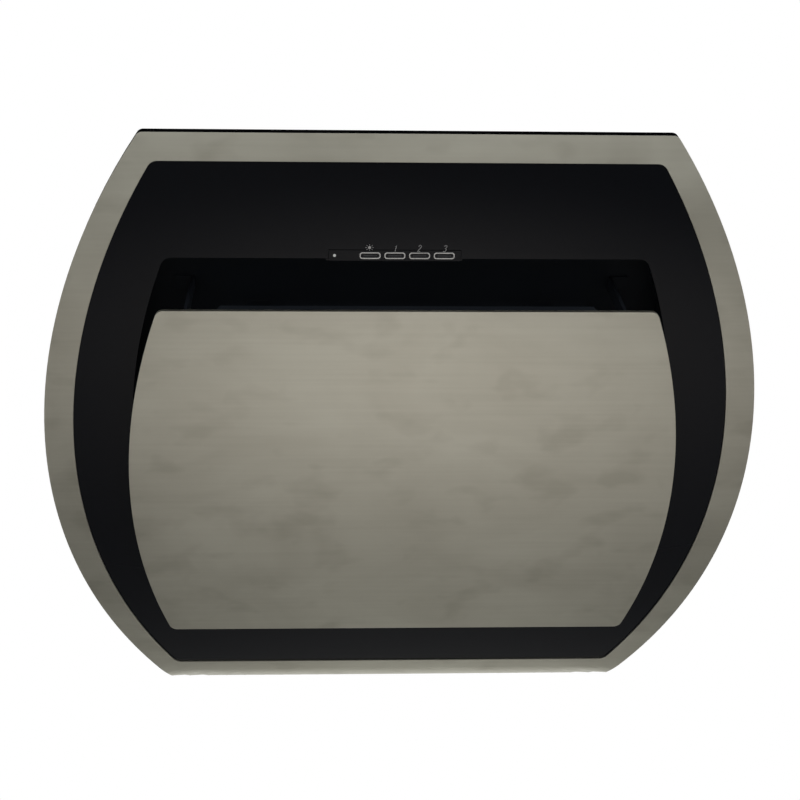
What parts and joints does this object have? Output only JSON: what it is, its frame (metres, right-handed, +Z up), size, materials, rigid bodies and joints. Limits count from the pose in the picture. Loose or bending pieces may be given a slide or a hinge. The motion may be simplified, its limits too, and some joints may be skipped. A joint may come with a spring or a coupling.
{
  "type": "range hood",
  "caption": "Wall-mounted inclined range hood with a bowed barrel-shaped steel and black glass front, perimeter suction behind a hinged panel, and a push-button row.",
  "frame": {"origin": "centre of the four wall screw holes, on the plane that lies against the wall", "axes": "+X to the right as the cook sees it, +Y into the wall, +Z up"},
  "size_m": [0.598, 0.3481, 0.477],
  "materials": {
    "brushed_steel": "horizontal satin brushing",
    "black_glass": "black-backed tempered glass, polished",
    "black_steel": "black powder coat, satin",
    "matt_black_steel": "dead matt black primer",
    "bright_steel": "bright zinc plate",
    "zinc_steel": "galvanised",
    "black_plastic": "fine grain",
    "gloss_black_plastic": "polished",
    "white_plastic": "fine grain",
    "chromed_plastic": "satin chrome",
    "lit_lens": "clear, lit from behind",
    "frosted_lens": "frosted",
    "circuit_board": "lacquered",
    "magnet": "nickel plate",
    "rubber": "dull",
    "aluminium": "mill",
    "brass": "turned"
  },
  "bodies": {
    "hood": {"front_frame": "brushed_steel", "glass_panel": "black_glass", "backing_tray": "matt_black_steel", "pan_base": "black_steel", "pan_wall": "black_steel", "pan_rim": "black_steel", "hinge_bracket_left": "black_steel", "hinge_bracket_right": "black_steel", "hinge_pins": "bright_steel", "catch_posts": "black_plastic", "catch_magnets": "magnet", "filter_ledge": "black_steel", "filter_clips": "black_steel", "control_fascia": "gloss_black_plastic", "button_bezels": "chromed_plastic", "control_housing": "black_plastic", "switch_board": "circuit_board", "switch_bodies": "black_plastic", "indicator_lens": "lit_lens", "casing_back": "zinc_steel", "casing_side_left": "black_steel", "casing_side_right": "black_steel", "casing_top": "black_steel", "casing_bottom": "black_steel", "casing_screws": "bright_steel", "duct_collar": "black_plastic", "duct_flange": "black_plastic", "damper_axle": "bright_steel", "blower_scroll": "zinc_steel", "inlet_ring": "black_plastic", "motor_body": "zinc_steel", "motor_bracket": "zinc_steel", "motor_grommets": "rubber", "lamp_housings": "white_plastic", "lamp_lenses": "frosted_lens", "lamp_boards": "circuit_board", "module_box": "black_plastic", "module_cover": "black_plastic", "module_board": "circuit_board", "capacitor": "white_plastic", "cable_gland": "black_plastic"},
    "suction_panel": {"panel_skin": "brushed_steel", "panel_stiffener": "black_steel", "hinge_ear_left": "black_steel", "hinge_ear_right": "black_steel"},
    "filter": {"filter_frame": "aluminium", "filter_mesh": "aluminium", "filter_handle": "black_plastic"},
    "button_light": {"button_light": "gloss_black_plastic"},
    "button_1": {"button_1": "gloss_black_plastic"},
    "button_2": {"button_2": "gloss_black_plastic"},
    "button_3": {"button_3": "gloss_black_plastic"},
    "impeller": {"impeller_wheel": "zinc_steel", "motor_shaft": "bright_steel", "impeller_nut": "brass"},
    "damper_flap_back": {"damper_flap_back": "black_plastic"},
    "damper_flap_front": {"damper_flap_front": "black_plastic"}
  },
  "joints": [
    {"name": "panel_hinge", "type": "hinge", "parent": "hood", "child": "suction_panel", "pos_m": [0, -0.31893, 0.11833], "axis": [-1, 0, 0], "range_deg": [0, 75]},
    {"name": "filter_tilt", "type": "hinge", "parent": "hood", "child": "filter", "pos_m": [0, -0.12717, -0.06169], "axis": [1, 0, 0], "range_deg": [0, 12]},
    {"name": "impeller_spin", "type": "hinge", "parent": "hood", "child": "impeller", "pos_m": [0, -0.104, 0.095], "axis": [1, 0, 0], "continuous": true},
    {"name": "flap_back_hinge", "type": "hinge", "parent": "hood", "child": "damper_flap_back", "pos_m": [0, -0.127, 0.219], "axis": [1, 0, 0], "range_deg": [0, 75]},
    {"name": "flap_front_hinge", "type": "hinge", "parent": "hood", "child": "damper_flap_front", "pos_m": [0, -0.127, 0.219], "axis": [-1, 0, 0], "range_deg": [0, 75]},
    {"name": "button_light_press", "type": "slide", "parent": "hood", "child": "button_light", "axis": [0, 0.9208, 0.3901], "range_m": [0, 0.001], "stiffness_N_per_m": 400, "springref_m": -0.001},
    {"name": "button_1_press", "type": "slide", "parent": "hood", "child": "button_1", "axis": [0, 0.9208, 0.3901], "range_m": [0, 0.001], "stiffness_N_per_m": 400, "springref_m": -0.001},
    {"name": "button_2_press", "type": "slide", "parent": "hood", "child": "button_2", "axis": [0, 0.9208, 0.3901], "range_m": [0, 0.001], "stiffness_N_per_m": 400, "springref_m": -0.001},
    {"name": "button_3_press", "type": "slide", "parent": "hood", "child": "button_3", "axis": [0, 0.9208, 0.3901], "range_m": [0, 0.001], "stiffness_N_per_m": 400, "springref_m": -0.001}
  ]
}
